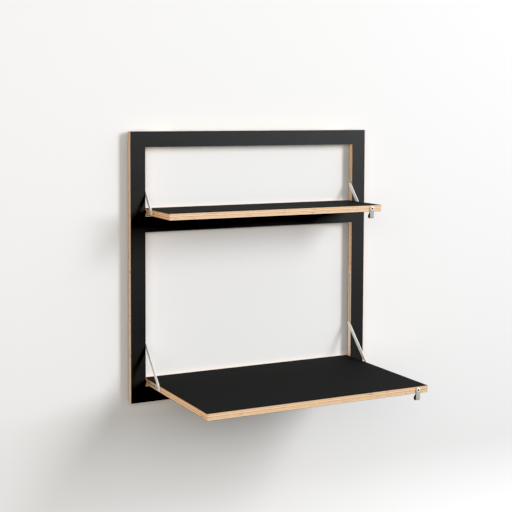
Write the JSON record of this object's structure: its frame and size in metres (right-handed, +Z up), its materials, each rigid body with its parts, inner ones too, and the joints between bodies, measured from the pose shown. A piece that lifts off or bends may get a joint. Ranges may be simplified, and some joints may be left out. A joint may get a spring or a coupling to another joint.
{
  "type": "fold down wall desk",
  "caption": "Wall-hung square frame with a folding desk flap and a smaller folding shelf above it, each on pin hinges with sliding steel stays and a leather pull loop.",
  "frame": {"origin": "midway between the two keyhole hanger entries, on the wall plane", "axes": "+X to the right seen from the room, +Y into the wall, +Z up"},
  "size_m": [0.8, 0.4632, 0.8],
  "materials": {
    "birch_plywood": "oiled edge",
    "black_laminate": "matte",
    "nickel_steel": "satin nickel",
    "grey_leather": "smooth grey grain side",
    "zinc_steel": "bright zinc",
    "black_steel": "black oxide",
    "black_nylon": "moulded",
    "buffer_rubber": "matte"
  },
  "bodies": {
    "frame": {"desk_groove_stop_left": "zinc_steel", "desk_groove_stop_right": "zinc_steel", "desk_hinge_pin_left": "zinc_steel", "desk_hinge_pin_right": "zinc_steel", "desk_slide_rail_left": "nickel_steel", "desk_slide_rail_right": "nickel_steel", "frame_back_laminate": "black_laminate", "frame_core": "birch_plywood", "frame_front_laminate": "black_laminate", "hanger_block_left": "birch_plywood", "hanger_block_right": "birch_plywood", "hanger_plate_left": "zinc_steel", "hanger_plate_right": "zinc_steel", "hanger_screws": "zinc_steel", "shelf_hinge_pin_left": "zinc_steel", "shelf_hinge_pin_right": "zinc_steel", "wall_buffer_left": "buffer_rubber", "wall_buffer_right": "buffer_rubber", "wall_buffer_screws": "zinc_steel"},
    "desk_flap": {"desk_bracket_left": "zinc_steel", "desk_bracket_right": "zinc_steel", "desk_bracket_screws": "black_steel", "desk_core": "birch_plywood", "desk_hinge_bush_left": "black_nylon", "desk_hinge_bush_right": "black_nylon", "desk_pull_loop": "grey_leather", "desk_pull_screw": "black_steel", "desk_pull_washer": "nickel_steel", "desk_stay_stud_left": "nickel_steel", "desk_stay_stud_right": "nickel_steel", "desk_top_laminate": "black_laminate", "desk_under_laminate": "black_laminate"},
    "shelf_flap": {"shelf_anchor_left": "zinc_steel", "shelf_anchor_right": "zinc_steel", "shelf_anchor_screws": "black_steel", "shelf_core": "birch_plywood", "shelf_hinge_bush_left": "black_nylon", "shelf_hinge_bush_right": "black_nylon", "shelf_pull_loop": "grey_leather", "shelf_pull_screw": "black_steel", "shelf_pull_washer": "nickel_steel", "shelf_stay_stud_left": "nickel_steel", "shelf_stay_stud_right": "nickel_steel", "shelf_top_laminate": "black_laminate", "shelf_under_laminate": "black_laminate"},
    "desk_stay_left": {"desk_stay_left": "nickel_steel", "desk_stay_rivet_left": "nickel_steel"},
    "desk_glider_left": {"desk_glider_left": "black_nylon"},
    "desk_stay_right": {"desk_stay_right": "nickel_steel", "desk_stay_rivet_right": "nickel_steel"},
    "desk_glider_right": {"desk_glider_right": "black_nylon"},
    "shelf_stay_left": {"shelf_stay_left": "nickel_steel", "shelf_stay_rivet_left": "nickel_steel"},
    "shelf_glider_left": {"shelf_glider_left": "black_nylon"},
    "shelf_stay_right": {"shelf_stay_right": "nickel_steel", "shelf_stay_rivet_right": "nickel_steel"},
    "shelf_glider_right": {"shelf_glider_right": "black_nylon"}
  },
  "joints": [
    {"name": "desk_fold", "type": "hinge", "parent": "frame", "child": "desk_flap", "pos_m": [0, -0.0198, -0.71684], "axis": [-1, 0, 0], "range_deg": [0, 90]},
    {"name": "desk_stay_left_turn", "type": "hinge", "parent": "desk_flap", "child": "desk_stay_left", "pos_m": [-0.352, -0.1308, -0.71684], "axis": [1, 0, 0], "range_deg": [0, 133.98]},
    {"name": "desk_glider_left_slide", "type": "slide", "parent": "frame", "child": "desk_glider_left", "axis": [0, 0, 1], "range_m": [0, 0.15582]},
    {"name": "desk_stay_right_turn", "type": "hinge", "parent": "desk_flap", "child": "desk_stay_right", "pos_m": [0.352, -0.1308, -0.71684], "axis": [1, 0, 0], "range_deg": [0, 133.98]},
    {"name": "desk_glider_right_slide", "type": "slide", "parent": "frame", "child": "desk_glider_right", "axis": [0, 0, 1], "range_m": [0, 0.15582]},
    {"name": "shelf_fold", "type": "hinge", "parent": "frame", "child": "shelf_flap", "pos_m": [0, -0.0198, -0.21284], "axis": [-1, 0, 0], "range_deg": [0, 90]},
    {"name": "shelf_stay_left_turn", "type": "hinge", "parent": "shelf_flap", "child": "shelf_stay_left", "pos_m": [-0.352, -0.0718, -0.21284], "axis": [1, 0, 0], "range_deg": [0, 130.59]},
    {"name": "shelf_glider_left_slide", "type": "slide", "parent": "frame", "child": "shelf_glider_left", "axis": [0, 0, 1], "range_m": [0, 0.07126]},
    {"name": "shelf_stay_right_turn", "type": "hinge", "parent": "shelf_flap", "child": "shelf_stay_right", "pos_m": [0.352, -0.0718, -0.21284], "axis": [1, 0, 0], "range_deg": [0, 130.59]},
    {"name": "shelf_glider_right_slide", "type": "slide", "parent": "frame", "child": "shelf_glider_right", "axis": [0, 0, 1], "range_m": [0, 0.07126]}
  ],
  "couplings": [
    {"joint": "desk_stay_left_turn", "follows": "desk_fold", "ratio": 1.4881},
    {"joint": "desk_glider_left_slide", "follows": "desk_fold", "m_per_rad": 0.099163},
    {"joint": "desk_stay_right_turn", "follows": "desk_fold", "ratio": 1.4881},
    {"joint": "desk_glider_right_slide", "follows": "desk_fold", "m_per_rad": 0.099163},
    {"joint": "shelf_stay_left_turn", "follows": "shelf_fold", "ratio": 1.4505},
    {"joint": "shelf_glider_left_slide", "follows": "shelf_fold", "m_per_rad": 0.045331},
    {"joint": "shelf_stay_right_turn", "follows": "shelf_fold", "ratio": 1.4505},
    {"joint": "shelf_glider_right_slide", "follows": "shelf_fold", "m_per_rad": 0.045331}
  ]
}
